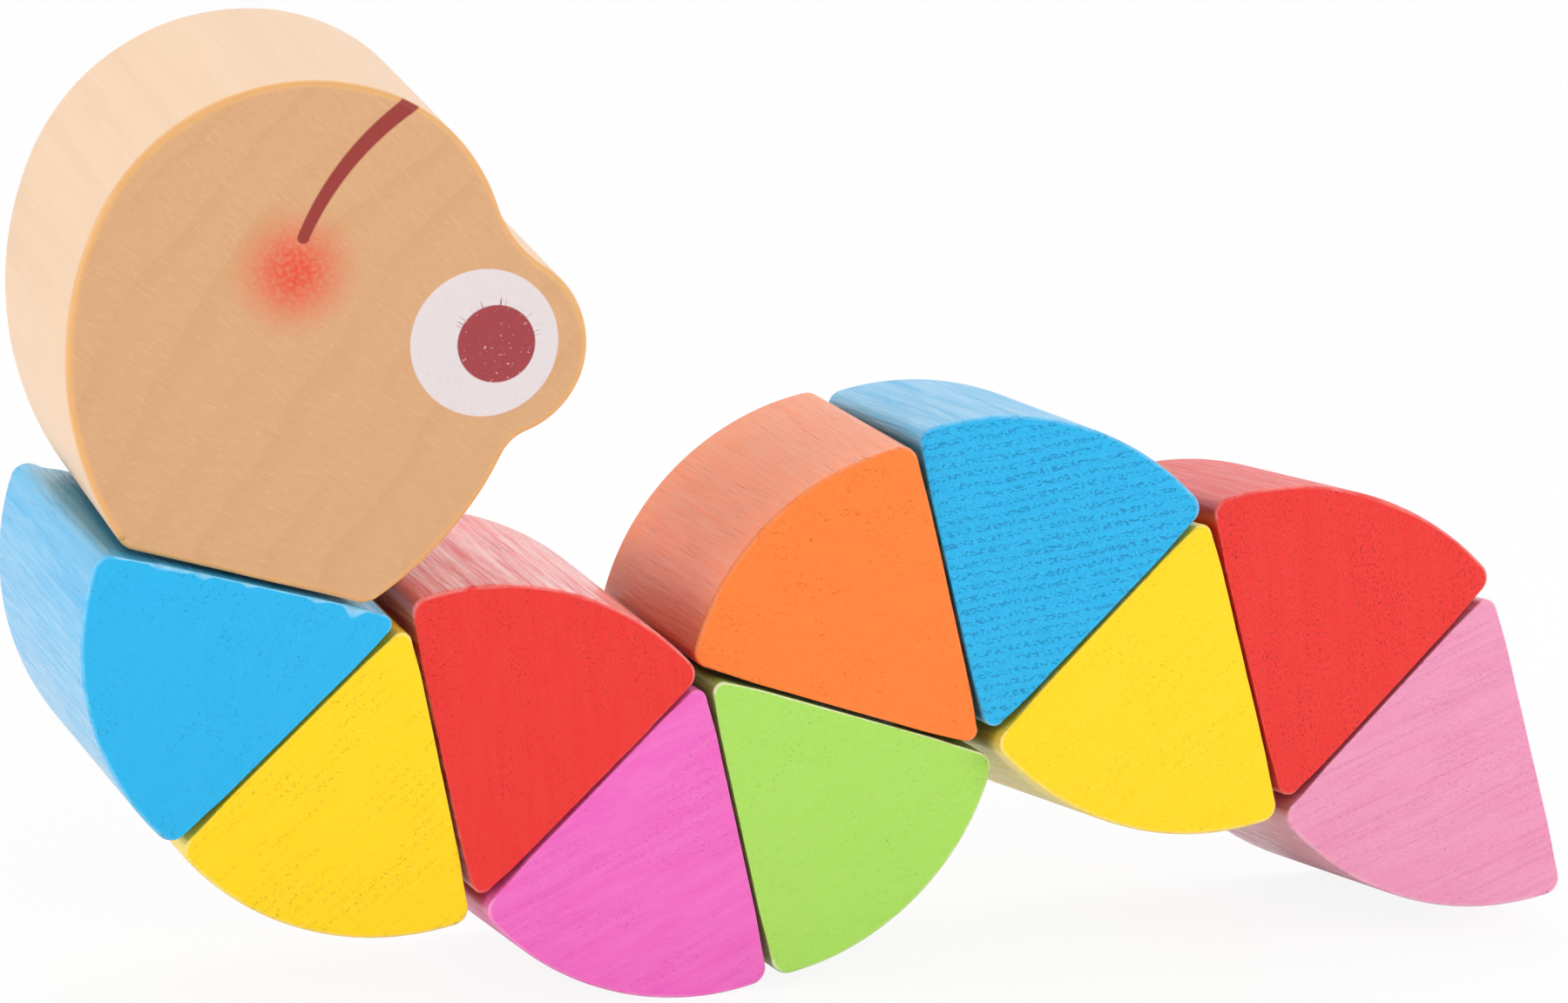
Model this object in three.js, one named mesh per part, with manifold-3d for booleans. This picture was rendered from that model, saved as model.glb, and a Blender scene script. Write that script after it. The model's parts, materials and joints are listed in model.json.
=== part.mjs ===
// Twisting worm, a wooden grasping toy: a natural-wood head and ten painted wedge blocks threaded
// on one elastic cord, so that each block swivels flat against the next. It stands in its zigzag
// pose on the rounded backs of two blocks. Millimetres, +Z up, the face looks along -Y.
import * as THREE from "three";
import { mergeVertices, toCreasedNormals } from "three/addons/utils/BufferGeometryUtils.js";
import Module from "manifold-3d";

const wasm = await Module();
wasm.setup();
const { degToRad } = THREE.MathUtils;

// Wedge blocks, each a sector with a rounded back
const SIDE = 26.6; // joint face, from the sharp inner corner to the outer corner
const SECTOR = degToRad(59); // angle between a block's two joint faces
const BACK_RADIUS = 23.2; // rounded back, which ends in the two outer corners
const THICKNESS = 30; // board that the blocks and the head are cut from
const CORNER_RADIUS = 1.4; // outer corners of a block seen from the front
const TIP_RADIUS = 0.9; // inner corner of a block seen from the front
const EDGE_RADIUS = 0.4; // sanded front and back edges of a block

// Swivel joints
const PIVOT_OFFSET = 0.4; // swivel axis, from the middle of the joint face towards the inner corner
const JOINT_GAP = 0.6; // between the faces of two neighbours

// Head: a round face with a raised eye boss on one side and a flat neck below
const FACE_RADIUS = 19.1;
const FACE_X = -1.4; // face centre, sideways of the neck's swivel axis
const FACE_Y = 22.6; // face centre above the neck
const CROWN_RADIUS = 15.4; // tighter round from the crown towards the brow
const CROWN_ANGLE = degToRad(87); // where the crown leaves the face circle
const FLANK_RADIUS = 28.1; // flatter sides down to the neck
const FLANK_ANGLE = degToRad(173); // where the cheek side leaves the face circle
const EYE_FLANK_ANGLE = degToRad(20); // where the eye side leaves the face circle
const BOSS_RADIUS = 7.75; // eye boss
const BOSS_X = 14.7;
const BOSS_Y = 23.35;
const BROW_HOLLOW = 10.2; // hollow between the crown and the boss
const JAW_HOLLOW = 3.9; // hollow below the boss
const NECK_RADIUS = 2.1; // corners of the neck
const HEAD_EDGE_RADIUS = 0.8; // sanded front and back edges of the head

// Elastic cord, its bores and its two anchors
const CORD_DIAMETER = 3;
const CORD_CLEARANCE = 0.5; // cord to bore, all round
const CORD_BEND = 2; // length of the bend on each side of where two bores meet
const MOUTH_FLARE = 0.6; // countersink of a bore's mouth
const PLUG_DIAMETER = 6.8; // bored dowel that holds the knot
const PLUG_LENGTH = 5;
const PLUG_CHAMFER = 0.4;
const SEAT = 0.3; // glue line round a plug, and plug to knot
const KNOT_TURNS = 2; // turns of cord side by side in a stopper knot
const KNOT_CORE = 1.3; // radius of the ring that the turns are wound on
const KNOT_TAIL = 0.8; // cord end behind the knot
const DRILL_POINT = degToRad(59); // half the point angle of the anchor drill

// Block colours from neck to tail, with the swivel of each block against the piece before it. The
// toy stands on the backs of two of them.
const BLOCKS = [
  { name: "block_01_blue", colour: 0x33b4ec, swivel: -3.5 },
  { name: "block_02_yellow", colour: 0xfed725, swivel: -0.5 },
  { name: "block_03_red", colour: 0xec3f39, swivel: 177.5 },
  { name: "block_04_magenta", colour: 0xf274c7, swivel: 177.5, stands: true },
  { name: "block_05_green", colour: 0xaddf67, swivel: 0 },
  { name: "block_06_orange", colour: 0xfe8641, swivel: 176.5 },
  { name: "block_07_blue", colour: 0x33b4ec, swivel: -3 },
  { name: "block_08_yellow", colour: 0xfed725, swivel: 177.5 },
  { name: "block_09_red", colour: 0xec3f39, swivel: 180 },
  { name: "block_10_pink", colour: 0xee97ba, swivel: 180, stands: true },
];
const HEAD_WOOD = 0xdeb282;
const PLUG_WOOD = 0xd8b78c;
const CORD_WHITE = 0xefece2;

const PIVOT = SIDE / 2 - PIVOT_OFFSET; // swivel axis, from the sharp inner corner along the joint face
const CORD_RADIUS = CORD_DIAMETER / 2;
const BORE_RADIUS = CORD_RADIUS + CORD_CLEARANCE;
const PLUG_RADIUS = PLUG_DIAMETER / 2;
const ANCHOR_RADIUS = PLUG_RADIUS + SEAT;
const KNOT_START = SEAT + PLUG_LENGTH + SEAT;
const KNOT_END = KNOT_START + KNOT_TURNS * CORD_DIAMETER;
const ANCHOR_DEPTH = KNOT_END + KNOT_TAIL + SEAT;
const BORE_MEET = PIVOT * Math.tan(SECTOR / 2); // bores of the two faces meet this deep
const FACET = 0.03; // how far an arc's flats may lie inside its round

const polar = (centre, radius, angle) =>
  new THREE.Vector2(Math.cos(angle), Math.sin(angle)).multiplyScalar(radius).add(centre);
const heading = (from, to) => Math.atan2(to.y - from.y, to.x - from.x);

/** Adds an arc to an outline, counter-clockwise from one angle to another, or clockwise. */
function addArc(outline, centre, radius, from, to, clockwise = false) {
  const turn = clockwise ? -1 : 1;
  const sweep = THREE.MathUtils.euclideanModulo(turn * (to - from), 2 * Math.PI);
  const step = 2 * Math.acos(1 - FACET / radius);
  const steps = Math.max(2, Math.ceil(sweep / step));
  for (let i = 0; i <= steps; i++) {
    outline.push(polar(centre, radius, from + (turn * sweep * i) / steps));
  }
}

/** Point at given distances from two centres, to the left of the way from the first to the second. */
function meetingPoint(first, firstReach, second, secondReach) {
  const apart = first.distanceTo(second);
  const along = (firstReach ** 2 - secondReach ** 2 + apart ** 2) / (2 * apart);
  const off = Math.acos(along / firstReach);
  return polar(first, firstReach, heading(first, second) + off);
}

/** Board of the given outline, centred on the XY plane, with rounded front and back edges. */
function board(outline, edge) {
  const geometry = new THREE.ExtrudeGeometry(new THREE.Shape(outline), {
    depth: THICKNESS - 2 * edge,
    bevelThickness: edge,
    bevelSize: edge,
    bevelOffset: -edge,
    bevelSegments: 2,
  });
  return geometry.translate(0, 0, edge - THICKNESS / 2);
}

/** Solid for joining and cutting, from a closed geometry. */
function solidOf(geometry) {
  const loose = geometry.index ? geometry.toNonIndexed() : geometry;
  const bare = new THREE.BufferGeometry().setAttribute("position", loose.getAttribute("position"));
  const merged = mergeVertices(bare, 1e-4);
  const mesh = new wasm.Mesh({
    numProp: 3,
    vertProperties: merged.getAttribute("position").array,
    triVerts: new Uint32Array(merged.index.array),
  });
  return new wasm.Manifold(mesh);
}

/** Geometry with each cutter taken out of it. */
function carve(geometry, cutters) {
  const cut = cutters.reduce((left, cutter) => left.subtract(solidOf(cutter)), solidOf(geometry));
  const mesh = cut.getMesh();
  const carved = new THREE.BufferGeometry();
  carved.setAttribute("position", new THREE.BufferAttribute(mesh.vertProperties, 3));
  carved.setIndex(new THREE.BufferAttribute(mesh.triVerts, 1));
  return toCreasedNormals(carved, degToRad(30));
}

/** Turned piece about +Y, from [radius, height] pairs. */
function turned(profile, sides) {
  return new THREE.LatheGeometry(profile.map(([radius, height]) => new THREE.Vector2(radius, height)), sides);
}

// A block's own frame: its first joint face lies in y = 0 with the swivel axis along +Y through the
// origin, and the block fills the sector above it. The board's thickness runs along Z.
const corner = new THREE.Vector2(-PIVOT, 0);
const exit = polar(corner, PIVOT, SECTOR);

/** Frame of a block's second joint face: +Y points out of the face, along the swivel axis. */
function exitFrame() {
  const frame = new THREE.Group();
  frame.position.set(exit.x, exit.y, 0);
  frame.rotation.z = SECTOR;
  return frame;
}

/** Outline of a block: inner corner, first face, rounded back, second face. */
function blockOutline() {
  const half = SECTOR / 2;
  const reach = SIDE * Math.cos(half) - Math.sqrt(BACK_RADIUS ** 2 - (SIDE * Math.sin(half)) ** 2);
  const back = polar(corner, reach, half);
  const inner = polar(corner, TIP_RADIUS / Math.sin(half), half);
  const drop = back.y - CORNER_RADIUS;
  const first = new THREE.Vector2(back.x, CORNER_RADIUS);
  first.x += Math.sqrt((BACK_RADIUS - CORNER_RADIUS) ** 2 - drop ** 2);
  const start = heading(back, first);
  const second = polar(back, BACK_RADIUS - CORNER_RADIUS, SECTOR - start);
  const outline = [];
  addArc(outline, inner, TIP_RADIUS, SECTOR + Math.PI / 2, (3 * Math.PI) / 2);
  addArc(outline, first, CORNER_RADIUS, -Math.PI / 2, start);
  addArc(outline, back, BACK_RADIUS, start, SECTOR - start);
  addArc(outline, second, CORNER_RADIUS, SECTOR - start, SECTOR + Math.PI / 2);
  return { outline, back };
}

/** Outline of the head, of arcs that run into each other, with the neck's swivel axis at x = 0. */
function headOutline() {
  const face = new THREE.Vector2(FACE_X, FACE_Y);
  const boss = new THREE.Vector2(BOSS_X, BOSS_Y);
  const crown = polar(face, FACE_RADIUS - CROWN_RADIUS, CROWN_ANGLE);
  const cheekFlank = polar(face, FACE_RADIUS - FLANK_RADIUS, FLANK_ANGLE);
  const eyeFlank = polar(face, FACE_RADIUS - FLANK_RADIUS, EYE_FLANK_ANGLE);
  const brow = meetingPoint(crown, CROWN_RADIUS + BROW_HOLLOW, boss, BOSS_RADIUS + BROW_HOLLOW);
  const jaw = meetingPoint(boss, BOSS_RADIUS + JAW_HOLLOW, eyeFlank, FLANK_RADIUS + JAW_HOLLOW);
  const neckCorner = (flank, side) => {
    const rise = flank.y - NECK_RADIUS;
    const out = Math.sqrt((FLANK_RADIUS - NECK_RADIUS) ** 2 - rise ** 2);
    return new THREE.Vector2(flank.x + side * out, NECK_RADIUS);
  };
  const eyeNeck = neckCorner(eyeFlank, 1);
  const cheekNeck = neckCorner(cheekFlank, -1);
  const outline = [];
  addArc(outline, eyeNeck, NECK_RADIUS, -Math.PI / 2, heading(eyeFlank, eyeNeck));
  addArc(outline, eyeFlank, FLANK_RADIUS, heading(eyeFlank, eyeNeck), heading(eyeFlank, jaw));
  addArc(outline, jaw, JAW_HOLLOW, heading(jaw, eyeFlank), heading(jaw, boss), true);
  addArc(outline, boss, BOSS_RADIUS, heading(boss, jaw), heading(boss, brow));
  addArc(outline, brow, BROW_HOLLOW, heading(brow, boss), heading(brow, crown), true);
  addArc(outline, crown, CROWN_RADIUS, heading(crown, brow), CROWN_ANGLE);
  addArc(outline, face, FACE_RADIUS, CROWN_ANGLE, FLANK_ANGLE);
  addArc(outline, cheekFlank, FLANK_RADIUS, FLANK_ANGLE, heading(cheekFlank, cheekNeck));
  addArc(outline, cheekNeck, NECK_RADIUS, heading(cheekFlank, cheekNeck), -Math.PI / 2);
  return outline;
}

/** Drill for a cord bore from a face at y = 0 upwards, a little past where two bores meet. */
function boreCutter() {
  const flare = BORE_RADIUS + MOUTH_FLARE;
  const end = BORE_MEET + BORE_RADIUS;
  const profile = [
    [0, -MOUTH_FLARE],
    [flare + MOUTH_FLARE, -MOUTH_FLARE],
    [BORE_RADIUS, MOUTH_FLARE],
    [BORE_RADIUS, end],
    [0, end],
  ];
  return turned(profile, 14);
}

/** Drill for an anchor: a blind hole for the plug and the knot, with the drill's point. */
function anchorCutter() {
  const profile = [
    [0, -1],
    [ANCHOR_RADIUS, -1],
    [ANCHOR_RADIUS, ANCHOR_DEPTH],
    [0, ANCHOR_DEPTH + ANCHOR_RADIUS / Math.tan(DRILL_POINT)],
  ];
  return turned(profile, 20);
}

/** Stretch of cord through a block, from face to face with a bend where the bores meet. */
function throughCord() {
  const entry = new THREE.Vector3();
  const bend = new THREE.Vector3(0, BORE_MEET, 0);
  const out = new THREE.Vector3(exit.x, exit.y, 0);
  const before = new THREE.Vector3(0, BORE_MEET - CORD_BEND, 0);
  const after = bend.clone().lerp(out, CORD_BEND / BORE_MEET);
  const route = new THREE.CurvePath();
  route.add(new THREE.LineCurve3(entry, before));
  route.add(new THREE.QuadraticBezierCurve3(before, bend, after));
  route.add(new THREE.LineCurve3(after, out));
  const section = new THREE.Shape().absarc(0, 0, CORD_RADIUS, 0, 2 * Math.PI);
  return new THREE.ExtrudeGeometry(section, { steps: 12, curveSegments: 4, extrudePath: route });
}

/** End of the cord: through the plug and into a stopper knot of turns side by side. */
function anchoredCord() {
  const profile = [[0, 0], [CORD_RADIUS, 0], [CORD_RADIUS, KNOT_START]];
  for (let turn = 0; turn < KNOT_TURNS; turn++) {
    const middle = KNOT_START + (turn + 0.5) * CORD_DIAMETER;
    for (const angle of [-75, -50, -25, 0, 25, 50, 75].map(degToRad)) {
      profile.push([KNOT_CORE + CORD_RADIUS * Math.cos(angle), middle + CORD_RADIUS * Math.sin(angle)]);
    }
  }
  profile.push([CORD_RADIUS, KNOT_END], [CORD_RADIUS, KNOT_END + KNOT_TAIL], [0, KNOT_END + KNOT_TAIL]);
  return turned(profile, 12);
}

/** Bored dowel glued into an anchor hole, a seat's depth below the face. */
function anchorPlug() {
  const bottom = SEAT;
  const top = SEAT + PLUG_LENGTH;
  const profile = [
    [BORE_RADIUS, bottom],
    [PLUG_RADIUS - PLUG_CHAMFER, bottom],
    [PLUG_RADIUS, bottom + PLUG_CHAMFER],
    [PLUG_RADIUS, top - PLUG_CHAMFER],
    [PLUG_RADIUS - PLUG_CHAMFER, top],
    [BORE_RADIUS, top],
    [BORE_RADIUS, bottom],
  ];
  return turned(profile, 20);
}

/** Named piece with a finish of its own. */
function piece(name, geometry, color, roughness) {
  const mesh = new THREE.Mesh(geometry, new THREE.MeshStandardMaterial({ color, roughness, metalness: 0 }));
  mesh.name = name;
  return mesh;
}

const { outline: sector, back: backCentre } = blockOutline();
const exitMatrix = new THREE.Matrix4().makeRotationZ(SECTOR).setPosition(exit.x, exit.y, 0);
const exitBore = boreCutter().rotateZ(Math.PI).applyMatrix4(exitMatrix);
const throughBlock = carve(board(sector, EDGE_RADIUS), [boreCutter(), exitBore]);
const tailBlock = carve(board(sector, EDGE_RADIUS), [anchorCutter()]);
const headBlock = carve(board(headOutline(), HEAD_EDGE_RADIUS), [anchorCutter()]);

// The head stands at the start of the chain. Each block is nested in the one before it: a frame on
// the joint face, then the swivel about the face's normal.
const worm = new THREE.Group();
worm.add(piece("head", headBlock, HEAD_WOOD, 0.4));
worm.add(piece("cord_head", anchoredCord(), CORD_WHITE, 0.8));
worm.add(piece("plug_head", anchorPlug(), PLUG_WOOD, 0.7));

const links = [];
let face = new THREE.Group();
face.rotation.z = Math.PI;
worm.add(face);
BLOCKS.forEach(({ name, colour, swivel }, index) => {
  const last = index === BLOCKS.length - 1;
  const link = new THREE.Group();
  link.position.y = JOINT_GAP;
  link.rotation.y = degToRad(swivel);
  link.add(piece(name, last ? tailBlock : throughBlock, colour, 0.35));
  if (last) {
    link.add(piece("cord_tail", anchoredCord(), CORD_WHITE, 0.8));
    link.add(piece("plug_tail", anchorPlug(), PLUG_WOOD, 0.7));
  } else {
    link.add(piece(name.replace("block", "cord"), throughCord(), CORD_WHITE, 0.8));
  }
  face.add(link);
  links.push(link);
  face = exitFrame();
  link.add(face);
});

// Standing: the foot block's thickness runs level from front to back, and the lowest points of the
// foot and tail blocks are on one level.
const [foot, tail] = links.filter((link, index) => BLOCKS[index].stands);
const toy = new THREE.Group();
toy.add(worm);

/** Centre of a block's rounded back, in the toy's frame. */
function backOf(link) {
  return link.localToWorld(new THREE.Vector3(backCentre.x, backCentre.y, 0));
}

/** Lowest level of a block. */
function lowest(link) {
  return new THREE.Box3().setFromObject(link.children[0], true).min.z;
}

toy.updateMatrixWorld(true);
const rearward = new THREE.Vector3().setFromMatrixColumn(foot.matrixWorld, 2);
rearward.multiplyScalar(-Math.sign(rearward.z));
const along = backOf(tail).sub(backOf(foot)).projectOnPlane(rearward).normalize();
const upward = new THREE.Vector3().crossVectors(along, rearward);
worm.applyMatrix4(new THREE.Matrix4().makeBasis(along, rearward, upward).invert());
for (let pass = 0; pass < 3; pass++) {
  toy.updateMatrixWorld(true);
  const tilt = Math.atan2(lowest(tail) - lowest(foot), backOf(tail).x - backOf(foot).x);
  worm.applyMatrix4(new THREE.Matrix4().makeRotationY(tilt));
}
toy.updateMatrixWorld(true);
const box = new THREE.Box3().setFromObject(toy, true);
const middle = box.getCenter(new THREE.Vector3());
worm.position.sub(new THREE.Vector3(middle.x, middle.y, box.min.z));

export default toy;
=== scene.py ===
"""Twisting wooden worm, a grasping toy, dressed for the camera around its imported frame.

The frame says where each body sits and what it swivels on. Here every block is rebuilt as the sanded
and painted wedge that it is, with worn edges and a drilled bore, the head as a varnished board with a
printed eye, mouth and cheek, and the elastic cord as a braided tube. Sizes are millimetres, turned to
metres when a mesh is made.
"""

from __future__ import annotations

import json
import logging
import math
from dataclasses import dataclass, field
from enum import Enum

import bmesh
import bpy
from mathutils import Matrix, Vector, noise

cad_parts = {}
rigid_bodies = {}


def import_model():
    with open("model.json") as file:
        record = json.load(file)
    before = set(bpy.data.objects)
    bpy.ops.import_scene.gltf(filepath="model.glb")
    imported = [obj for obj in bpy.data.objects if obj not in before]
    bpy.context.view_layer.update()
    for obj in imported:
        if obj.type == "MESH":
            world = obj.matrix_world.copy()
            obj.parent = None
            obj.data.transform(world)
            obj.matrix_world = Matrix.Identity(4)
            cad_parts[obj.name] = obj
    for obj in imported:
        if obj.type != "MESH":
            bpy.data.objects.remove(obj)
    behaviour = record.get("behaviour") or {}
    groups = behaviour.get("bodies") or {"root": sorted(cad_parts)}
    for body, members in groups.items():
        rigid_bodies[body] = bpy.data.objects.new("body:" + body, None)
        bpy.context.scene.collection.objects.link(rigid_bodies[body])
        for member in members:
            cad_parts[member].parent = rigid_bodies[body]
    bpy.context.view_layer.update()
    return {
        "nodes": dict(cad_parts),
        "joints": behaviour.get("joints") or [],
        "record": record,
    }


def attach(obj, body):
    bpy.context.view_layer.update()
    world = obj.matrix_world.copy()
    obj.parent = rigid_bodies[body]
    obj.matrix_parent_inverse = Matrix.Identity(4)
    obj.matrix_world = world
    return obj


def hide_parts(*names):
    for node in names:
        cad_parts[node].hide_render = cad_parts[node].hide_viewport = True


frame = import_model()

MM = 0.001  # metres in a millimetre
PER_MM = 1000.0  # millimetres in a metre, for patterns

log = logging.getLogger("worm")

Socket = bpy.types.NodeSocket
Tree = bpy.types.NodeTree
Colour = tuple[float, float, float, float]


# Colours, nodes and objects


def linear(code: str) -> Colour:
    """Turns an sRGB hex colour into Blender's linear colour.

    Args:
        code: Six hex digits.

    Returns:
        Linear red, green and blue, and an alpha of 1.
    """
    shares = [int(code[i : i + 2], 16) / 255 for i in (0, 2, 4)]
    red, green, blue = (s / 12.92 if s <= 0.04045 else ((s + 0.055) / 1.055) ** 2.4 for s in shares)
    return red, green, blue, 1.0


WHITE = linear("ffffff")


def add_node(
    tree: Tree, kind: str, inputs: dict | None = None, out: int | str = 0, **settings: object
) -> Socket | None:
    """Adds a shader node, sets it up and links it.

    Args:
        tree: The tree that gets the node.
        kind: Blender's name of the node type, without ShaderNode.
        inputs: Socket name or number to a socket to link from, or to a plain value.
        out: Name or number of the output that is wanted.
        **settings: Properties of the node.

    Returns:
        That output, or nothing from a node without outputs.
    """
    node = tree.nodes.new("ShaderNode" + kind)
    for name, value in settings.items():
        setattr(node, name, value)
    for key, value in (inputs or {}).items():
        if isinstance(value, Socket):
            tree.links.new(value, node.inputs[key])
        else:
            node.inputs[key].default_value = value
    return node.outputs[out] if len(node.outputs) else None


def new_tree(name: str) -> tuple[bpy.types.Material, Tree]:
    """Makes an empty node material.

    Args:
        name: The material's name.

    Returns:
        The material and its node tree.
    """
    material = bpy.data.materials.new(name)
    material.use_nodes = True
    material.node_tree.nodes.clear()
    return material, material.node_tree


def layered(tree: Tree, colour: Socket | Colour, layers: tuple) -> Socket:
    """Lays tones over a colour, one after another.

    Args:
        tree: The material's tree.
        colour: The lowest colour.
        layers: Mask, share and tone of each layer, which covers by its mask times its share.

    Returns:
        The colour that shows.
    """
    for mask, share, tone in layers:
        cover = add_node(tree, "Math", {0: mask, 1: share}, operation="MULTIPLY")
        above = linear(tone) if isinstance(tone, str) else tone
        colour = add_node(tree, "Mix", {0: cover, 6: colour, 7: above}, 2, data_type="RGBA")
    return colour


def level_mask(tree: Tree, place: Socket, none: float, full: float) -> Socket:
    """Masks a board by the distance from its middle plane.

    Args:
        tree: The material's tree.
        place: Place on the board in millimetres.
        none: Distance where the mask is 0.
        full: Distance where it is 1.

    Returns:
        The mask.
    """
    depth = add_node(tree, "SeparateXYZ", {0: place}, "Z")
    level = add_node(tree, "Math", {0: depth}, operation="ABSOLUTE")
    return add_node(tree, "MapRange", {"Value": level, "From Min": none, "From Max": full})


@dataclass(frozen=True)
class Flecks:
    """Cloudy flecks of a real size, such as pores, fibres or bands."""

    size: tuple[float, float, float]  # of one fleck along x, y and z
    low: float  # noise level where a fleck starts to show
    high: float  # where it shows in full
    detail: float = 2.0  # octaves of finer noise

    def draw(self, tree: Tree, place: Socket) -> Socket:
        """Adds the flecks to a material.

        Args:
            tree: The material's tree.
            place: Place on the piece in millimetres.

        Returns:
            1 in a fleck, 0 between flecks.
        """
        shares = tuple(1 / s for s in self.size)
        scaled = add_node(tree, "VectorMath", {0: place, 1: shares}, operation="MULTIPLY")
        cloud = add_node(tree, "TexNoise", {"Vector": scaled, "Scale": 1.0, "Detail": self.detail}, "Fac")
        cut = {"Value": cloud, "From Min": self.low, "From Max": self.high}
        return add_node(tree, "MapRange", cut, interpolation_type="SMOOTHSTEP")


def linked(name: str, data: bpy.types.ID) -> bpy.types.Object:
    """Adds an object to the scene.

    Args:
        name: Its name.
        data: Its mesh, lamp or camera.

    Returns:
        The object.
    """
    made = bpy.data.objects.new(name, data)
    bpy.context.scene.collection.objects.link(made)
    return made


# Finishes


class Paint(Enum):
    """Toy enamels: coat; shade for pores, painted shade; tint for worn edges, painted sheen, highlights.
    """

    BLUE = ("1fb2ea", "0d6aa5", "9ad8f7")
    YELLOW = ("fcd508", "b98205", "fbeeb0")
    RED = ("e82f29", "8a1114", "fbada6")
    MAGENTA = ("ee66c0", "b93a97", "fbc0e4")
    GREEN = ("a8dc5c", "5f8f2c", "f0f3cf")
    ORANGE = ("fd7f31", "b0430c", "e6a47e")
    PINK = ("ea92b6", "b85f88", "fad2e0")

    def __init__(self, coat: str, shade: str, tint: str) -> None:
        """Gives the three colours their names."""
        self.coat, self.shade, self.tint = coat, shade, tint


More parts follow.
